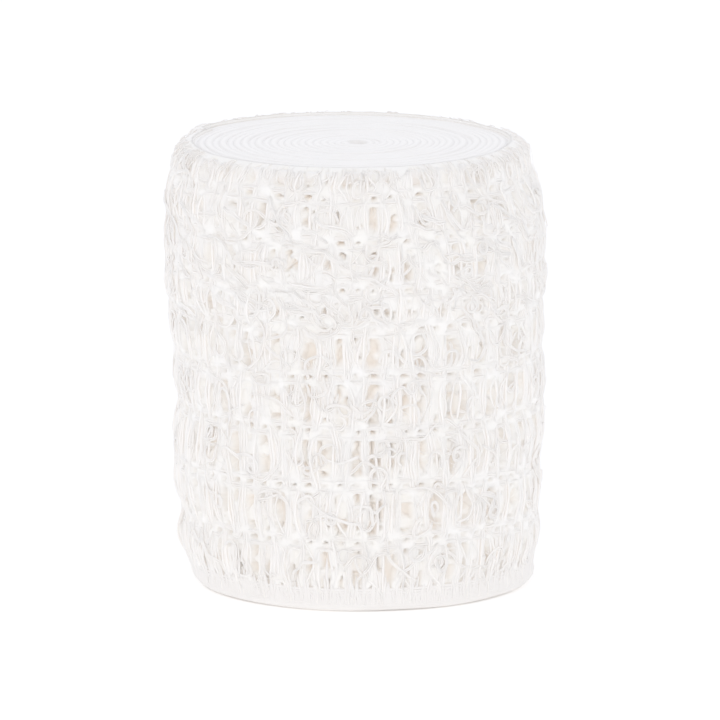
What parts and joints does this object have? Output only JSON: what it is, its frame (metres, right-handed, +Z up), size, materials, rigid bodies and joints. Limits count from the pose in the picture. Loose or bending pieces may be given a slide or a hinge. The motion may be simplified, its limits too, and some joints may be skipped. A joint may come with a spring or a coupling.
{
  "type": "crepe bandage",
  "caption": "Open-weave cotton crepe bandage, wound into a soft cylindrical roll that stands on its end. It stretches and wraps a joint or limb to support it.",
  "frame": {"origin": "middle of the flat end that the roll stands on", "axes": "+Z up the roll's height, which is the bandage's width; the picture looks along +Y, with +X to its right"},
  "size_m": [0.043, 0.0444, 0.05],
  "materials": {
    "crepe_cotton": "matt off-white cotton yarn, crimped, with loose loops and lint"
  },
  "bodies": {
    "root": {"bandage_roll": "crepe_cotton"}
  },
  "joints": []
}
